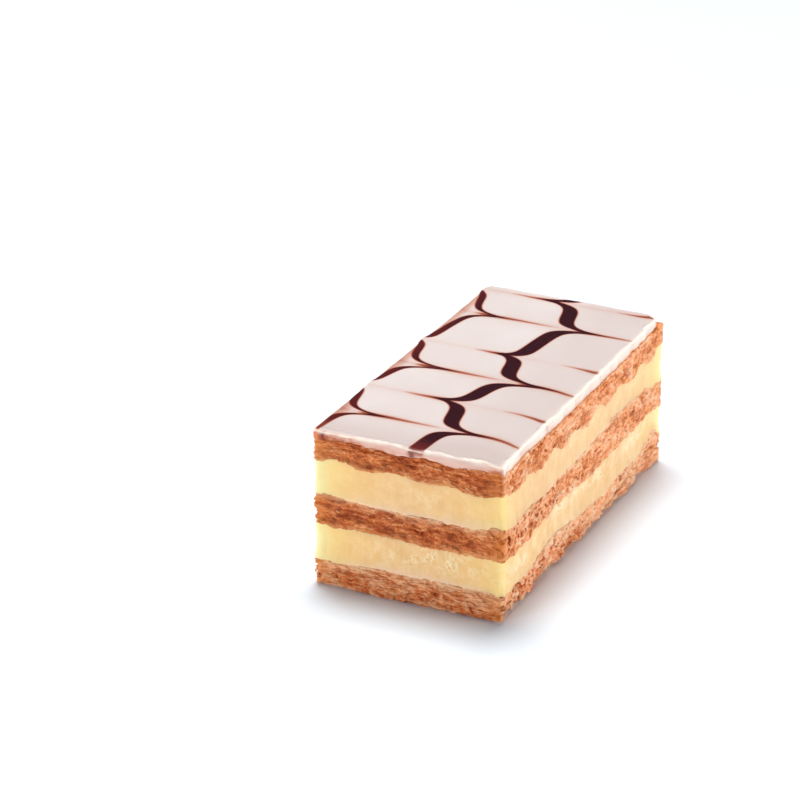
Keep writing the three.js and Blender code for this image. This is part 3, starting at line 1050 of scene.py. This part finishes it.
STREAK_DARK = 0.55
# partly real chocolate over the left rounded edge, painted pale and pinkish to stand for its
# reflection of the room
LEFT_STAIN_AND_REFLECTION = 0.2  # chocolate left in the icing between the left stripe and the edge
STAIN = 0.011  # chocolate left in the icing, for each unit of the drag's slope
CHOCOLATE = [
    (0.0, "#dbcfca"), (0.12, "#cda08f"), (0.32, "#a2553c"), (0.58, "#5e2320"), (0.82, "#330f16"),
]


def feathering(finish, x, y):
    """How much chocolate lies at a point, 0 to 1. At a distance d from a stroke the pick
    dragged the icing by a shoulder, a e^(-d / reach), and a tail, b e^(-d / reach). The
    point came from x less all the drags, and a stripe there is a box whose edges are
    softened by tanh, over a width that grows with the slope of the drag. A streak is a
    bell across its stroke, which narrows and fades in a line from its start to its tip.
    The icing itself is stained a little by that slope, and to the left of the stripes, over the
    rounded edge, it is tinted with pale chocolate that stands for chocolate there with a painted
    reflection."""
    clamp = finish.clamp
    start = x - LEAN * y - LEFT_LEAN * y * clamp((-8 - x) / 10)
    slope = 0
    streaks = 0
    for across, way, pull, tip, runs in STROKES:
        away = abs(y - across)
        shoulder = finish.sum("EXPONENT", away * (-1 / SHOULDER_REACH)) * pull
        tail = finish.sum("EXPONENT", away * (-1 / TAIL_REACH)) * tip
        start = start - way * (shoulder + tail)
        slope = slope + shoulder * (1 / SHOULDER_REACH) + tail * (1 / TAIL_REACH)
        left = 0
        for begins, ends in runs:
            share = (x - ends) / (begins - ends)
            left = left + clamp(share) * clamp(6 * (1 - share))
        spread = away / (STREAK_WIDTH[0] + STREAK_WIDTH[1] * left)
        streaks = streaks + finish.bell(spread) * left**0.8
    softness = LINE_SOFTNESS * finish.sum("SQRT", 1 + slope * slope)
    # left of the left stripe: chocolate on the rounded edge, painted pale as its reflection
    outside = clamp((STRIPES[0][0] - start) / 0.8) * clamp((-21 - x) / 2.5)
    chocolate = LEFT_STAIN_AND_REFLECTION * outside
    for centre, width in STRIPES:
        before = finish.sum("TANH", (start - (centre - width / 2)) / softness)
        after = finish.sum("TANH", (start - (centre + width / 2)) / softness)
        chocolate = chocolate + 0.5 * (before - after)
    return clamp(chocolate + STREAK_DARK * streaks + STAIN * slope)


# painted highlight along the rim
RIM_HIGHLIGHT_WHITE = "#fff3e2"
THIN_CHOCOLATE = "#852a22"
# painted shade: the icing is greyer towards the front and the right
ICING_PAINTED_SHADE = "#c8b5ae"
DRAPED_PINK = "#f3d3c4"
ICING_CLOUD = "#e6dcd8"
THIN_PINK = "#de9f86"
THIN_BROWN = "#bd6636"
BARE_BROWN = "#e08453"
BARE_FROM = -22.9  # the fondant has pulled back from the corner to the left of this
DRIP_RED = "#7a2c26"
DRIPPED = [(0.9, 0.9), (-21.9, 0.8)]  # where chocolate ran over the front, and how wide


def feathered_fondant():
    """Glossy white fondant feathered with chocolate, which is redder where it was spread thin.
    It has a painted white highlight along its rim, where the chocolate is cut back, and painted
    shade, a greyer icing, towards the front and the right. It is thin where it hangs over the
    front, so that brown pastry shows through, and there the chocolate ran down in two drips."""
    finish = Finish("feathered_fondant")
    clamp = finish.clamp
    x = finish.along("X") + 0.5 * (finish.noise(0.05, 0, 1, 0.5) - 0.5)
    y = finish.along("Y") + 0.5 * (finish.noise(0.12, 0, 1, 0.5) - 0.5)
    bend = clamp((x - 14) / 10)
    y = y + (1.4 - 0.04 * y) * bend * bend
    draped = finish.mark("draped")
    rim_highlight = finish.mark("rim_highlight")
    # near: towards the front, where the icing gets painted shade and less chocolate
    near = clamp((-37 - y) / 9)
    # the chocolate is cut back under the painted rim highlight, where the icing hangs, and
    # towards the front
    worn = 1 - 0.65 * rim_highlight - 1.6 * draped - near * (0.3 - 0.008 * x)
    chocolate = clamp(feathering(finish, x, y) * worn)
    spread_thin = clamp((-45 - y) / 4) * 0.5 + clamp((-19.5 - x) / 3) * 0.3
    pale = 1 - clamp(3 * chocolate)
    clouds = finish.noise(0.07, 0.07, 2, 0.5)
    hangs = clamp(4 * draped)
    # painted shade, greyer to the right and the front
    icing_shade = clamp(0.5 * clamp((x + 2) / 14) + 0.8 * near) * pale * 0.8
    thin = finish.noise(0.35, 0.9, 3, 0.6)
    flecks = finish.noise(1.1, 1.6, 3, 0.6)
    drips = sum(finish.bell((x - place) / width) for place, width in DRIPPED)
    color = finish.washed(
        finish.ramp(chocolate, CHOCOLATE),
        (spread_thin * clamp(2 * chocolate - 0.6), THIN_CHOCOLATE),
        (clamp(1.2 * (clouds - 0.42)) * pale, ICING_CLOUD),
        # painted shade on the icing
        (icing_shade * (1 - hangs), ICING_PAINTED_SHADE),
        (hangs * pale, DRAPED_PINK),
        (draped * (1.5 + 2.4 * (thin - 0.5)), THIN_PINK),
        (3 * draped - 1.35 + 2.2 * (thin - 0.5) + 1.2 * (flecks - 0.5), THIN_BROWN),
        (hangs * drips * (2.6 * flecks - 0.5), DRIP_RED),
        (clamp((BARE_FROM - x) / 0.6 + flecks - 0.5) * hangs, BARE_BROWN),
        # painted highlight along the rim
        (rim_highlight * (1 - chocolate) * (0.7 + 0.6 * flecks), RIM_HIGHLIGHT_WHITE),
    )
    return finish.done(
        Base_Color=color,
        Roughness=0.26,
        Specular_IOR_Level=0.12,
        Normal=finish.bump(finish.noise(0.5, 0.5, 3, 0.5), 0.02),
        Subsurface_Weight=0.25,
        Subsurface_Radius=(1, 0.6, 0.5),
        Subsurface_Scale=0.0012,
        Coat_Weight=0.22 * (1 - chocolate),
        Coat_Roughness=0.08,
    )


FLAKE_BROWNS = [(0.3, "#bb6c3c"), (0.5, "#d28c5c"), (0.7, "#e6ac80")]
CRUMB_BROWNS = [(0.3, "#a4561f"), (0.5, "#c9783f"), (0.7, "#e5aa78")]
TABLE_WHITES = [(0.0, "#e0e8ef"), (1.0, "#e3ebf2")]


def loose_bits(name, stops, roughness, gloss):
    """Loose bits, each with a tone of its own from noise wider than it is."""
    finish = Finish(name)
    return finish.done(
        Base_Color=finish.ramp(finish.noise(0.8, 0.8, 2, 0.5), stops),
        Roughness=roughness,
        Specular_IOR_Level=gloss,
    )


def pale_table():
    """A matt white table, a little cool, with hardly any mottle."""
    finish = Finish("pale_table")
    color = finish.ramp(finish.noise(0.01, 0.01, 2, 0.5), TABLE_WHITES)
    return finish.done(Base_Color=color, Roughness=0.85)


# ---- Flakes and crumbs ----

FLAKE_STATIONS = 7
CRUMB_STATIONS = 5
CRUMB_CORNERS = 6
OUTLINE_STEP = 0.1


def scattered(layer, cut, count, rows, patch, seed):
    """Random spots on a layer's side, as distance round, how far out the surface is,
    and height. The row is between two shares of its height, and the column goes by
    chance: each side's share times the square of random patches."""
    random = np.random.default_rng(seed)
    chance = np.clip(0.35 + run(cut, patch, seed), 0.03, 1) ** 2
    chance = by_side(cut, BITS_BY_SIDE) * chance
    column = random.choice(len(chance), count, p=chance / chance.sum())
    row = (random.uniform(*rows, count) * (len(layer.out) - 1)).astype(int)
    return np.array([cut.distance[column], layer.out[row, column], layer.level[row, column]])


def strung(spots, along, lift, section, slant, lie):
    """Closed tubes, one at each spot, raised by `lift`. A tube's corners lie at `along`
    on its line, turned up from level by `slant`, plus a section turned out of the cut
    by `lie`. A tube that would stand out too far is moved in as a whole."""
    distance, out, level = spots[:, :, None, None]
    wide, thick = section
    beside = wide * np.cos(lie) - thick * np.sin(lie)
    distance = distance + (along * np.cos(slant) - beside * np.sin(slant))
    level = level + (along * np.sin(slant) + beside * np.cos(slant))
    out = out + lift + (wide * np.sin(lie) + thick * np.cos(lie))
    out = out - np.maximum(out.max((1, 2), keepdims=True) - RAGGED, 0)
    fine = walk(OUTLINE_STEP)
    x, y, ray_x, ray_y = (
        np.interp(distance, fine.distance, values, period=PERIMETER)
        for values in (*fine.place.T, *fine.ray.T)
    )
    return np.stack([x + ray_x * out, y + ray_y * out, np.maximum(level, 0)], -1)


def picker(random, count):
    """A call that draws a number between two others for each of `count` bits."""
    return lambda low, high: random.uniform(low, high, (count, 1, 1))


def flakes(spots, seed):
    """Thin bent shards: for s from -1 to 1 the half width goes by the square root of 1
    - 0.85 s squared, and the arch by 1 - s squared."""
    some = picker(np.random.default_rng(seed), spots.shape[1])
    s = np.linspace(-1, 1, FLAKE_STATIONS)[:, None]
    length = some(0.4, 1.3) * some(0.6, 1)
    width = some(0.09, 0.28) * np.sqrt(1 - 0.85 * s * s) * (1 + 0.3 * some(-1, 1) * s)
    arch = some(-0.1, 0.35) * (1 - s * s)
    wide = width * np.array([1, -1, -1, 1])
    thick = arch + 0.04 * np.array([1, 1, -1, -1])
    return strung(spots, length * s, 0.1, (wide, thick), some(-0.5, 0.5), some(0, 1.5))


def crumbs(spots, seed):
    """Rounded grains: for s from -1 to 1 the radius goes by the square root of 1 - s
    squared, uneven at random."""
    random = np.random.default_rng(seed)
    count = spots.shape[1]
    some = picker(random, count)
    s = np.linspace(-0.93, 0.93, CRUMB_STATIONS)[:, None]
    around = TURN * np.arange(CRUMB_CORNERS) / CRUMB_CORNERS
    size = some(0.1, 0.28)
    uneven = random.uniform(0.75, 1.2, (count, CRUMB_STATIONS, CRUMB_CORNERS))
    radius = size * np.sqrt(1 - s * s) * uneven
    wide = radius * np.cos(around)
    thick = radius * np.sin(around) * some(0.6, 1)
    along = size * some(0.9, 1.6) * s
    lie = some(0, 1.5)
    return strung(spots, along, 0.3 * size, (wide, thick), some(-1.5, 1.5), lie)


def tube_faces(count, stations, corners):
    """Faces of many closed tubes: four-sided ones from ring to ring, and the first and
    last rings themselves."""
    around = np.arange(corners)
    after = np.roll(around, -1)
    first = corners * np.arange(stations - 1)[:, None]
    sides = np.stack([around, after, after + corners, around + corners], -1) + first[:, None]
    ends = np.stack([around[::-1], around + corners * (stations - 1)])
    starts = stations * corners * np.arange(count)[:, None, None]
    faces = (sides.reshape(-1, 4) + starts).reshape(-1, 4).tolist()
    return faces + (ends + starts).reshape(-1, corners).tolist()


# ---- The slice ----

# Each sheet: the layer above it, its seed, how much it is pitted, and how much paler its
# finish is.
SHEETS = [
    ("pastry_bottom", "custard_lower", 10, 1.1, 0.42),
    ("pastry_middle", "custard_upper", 30, 0.9, 0.05),
    ("pastry_top", "fondant", 50, 0.5, 0.0),
]
# Each filling: the layer above it, its seed, how deep its drag marks and its curds are,
# and how much the drag marks show in its finish.
FILLINGS = [
    ("custard_lower", "pastry_middle", 21, 0.045, 0.2, 0.25),
    ("custard_upper", "pastry_top", 43, 0.02, 0.05, 0.1),
]
# Where loose bits lie: the sheet, how many, between which shares of its height, the width
# of the patches they gather in, and the seed.
BITS_BY_SIDE = {"front": 0.8, "right": 1, "back": 0.9, "left": 0.5}
FLAKE_SPOTS = [
    ("pastry_bottom", 80, (0.1, 0.95), 6, 201),
    ("pastry_middle", 60, (0.1, 0.95), 7, 202),
    ("pastry_top", 50, (0.05, 0.8), 7, 203),
]
CRUMB_SPOTS = [
    ("pastry_bottom", 70, (0.05, 0.95), 5, 211),
    ("pastry_middle", 70, (0.05, 0.95), 5, 212),
    ("pastry_top", 60, (0.05, 0.95), 5, 213),
]


def add_layer(name, layer, cut, finish):
    """A layer of the slice, in the place of the solid of that name."""
    points = with_spines(layer.rings, cut)
    marks = {mark: with_spines(values, cut) for mark, values in layer.marks.items()}
    piece = make_piece(name + "_look", points, skin(cut, len(layer.rings)), finish, marks)
    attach(piece, "root")
    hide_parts(name)


def add_bits(name, points, finish):
    """Loose bits, from points that go by bit, ring and corner."""
    faces = tube_faces(*points.shape[:3])
    piece = make_piece(name, points.reshape(-1, 3), faces, finish)
    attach(piece, "root")


pastry_cut = walk(PASTRY_STEP)
custard_cut = walk(CUSTARD_STEP)
fondant_cut = walk(FONDANT_STEP)
sheets = {}
for name, above, seed, pitting, shift in SHEETS:
    sheets[name] = pastry_layer(pastry_cut, name, above, seed, pitting)
    add_layer(name, sheets[name], pastry_cut, baked_pastry(name + "_crust", shift))
for name, above, seed, drag, curd, streak in FILLINGS:
    filling = custard_layer(custard_cut, name, above, seed, drag, curd)
    add_layer(name, filling, custard_cut, set_custard(name + "_cream", streak))
add_layer("fondant", fondant_layer(fondant_cut), fondant_cut, feathered_fondant())

flake_spots, crumb_spots = (
    np.concatenate([scattered(sheets[name], pastry_cut, *how) for name, *how in table], 1)
    for table in (FLAKE_SPOTS, CRUMB_SPOTS)
)
flake_finish = loose_bits("loose_flake", FLAKE_BROWNS, 0.6, 0.15)
crumb_finish = loose_bits("pastry_crumb", CRUMB_BROWNS, 0.7, 0.25)
add_bits("loose_flakes", flakes(flake_spots, 231), flake_finish)
add_bits("pastry_crumbs", crumbs(crumb_spots, 232), crumb_finish)


# ---- Table, light and camera ----

TABLE_HALF = 4000
ROOM_LIGHT = (0.135, "#e4ecfc")
LIGHT_AIM = (0, 0, 20)
# Each light's place, size and power in watts.
LIGHTS = {
    "overhead": ((-260, 420, 1840), 840, 41.5),
    "right_window": ((590, 60, 95), 220, 2.1),
    "left_window": ((-560, 60, 85), 210, 1.1),
    "front_window": ((-190, -480, 85), 200, 1.15),
}
CAMERA_AZIMUTH = 25.6
CAMERA_ELEVATION = 24.45
CAMERA_DISTANCE = 822
CAMERA_AIM = (-25.7, 0, 27.6)
CAMERA_LENS = 148.5


def lay_table():
    """A flat square under the slice."""
    corners = TABLE_HALF * np.array([[-1, -1, 0], [1, -1, 0], [1, 1, 0], [-1, 1, 0]])
    table = make_piece("table", corners.astype(float), [[0, 1, 2, 3]], pale_table())


def set_up(name, data, place, way):
    """A light or camera, at a place in millimetres, turned to look one way."""
    made = bpy.data.objects.new(name, data)
    made.location = place * MM
    made.rotation_euler = way.to_track_quat("-Z", "Y").to_euler()
    bpy.context.scene.collection.objects.link(made)
    return made


def light_room():
    """Even light from all round, and square soft lights."""
    strength, color = ROOM_LIGHT
    world = bpy.data.worlds.new("room")
    world.use_nodes = True
    background = world.node_tree.nodes["Background"]
    background.inputs["Color"].default_value = hue(color)
    background.inputs["Strength"].default_value = strength
    bpy.context.scene.world = world
    for name, (place, size, power) in LIGHTS.items():
        light = bpy.data.lights.new(name, "AREA")
        light.size = size * MM
        light.energy = power
        set_up(name, light, Vector(place), Vector(LIGHT_AIM) - Vector(place))


def set_camera():
    """The camera looks at its aim from an azimuth and an elevation."""
    azimuth = math.radians(CAMERA_AZIMUTH)
    elevation = math.radians(CAMERA_ELEVATION)
    flat = math.cos(elevation)
    back = Vector((math.sin(azimuth) * flat, -math.cos(azimuth) * flat, math.sin(elevation)))
    view = bpy.data.cameras.new("camera")
    view.lens = CAMERA_LENS
    place = Vector(CAMERA_AIM) + back * CAMERA_DISTANCE
    bpy.context.scene.camera = set_up("camera", view, place, -back)


lay_table()
light_room()
set_camera()
bpy.context.scene.view_settings.view_transform = "Standard"
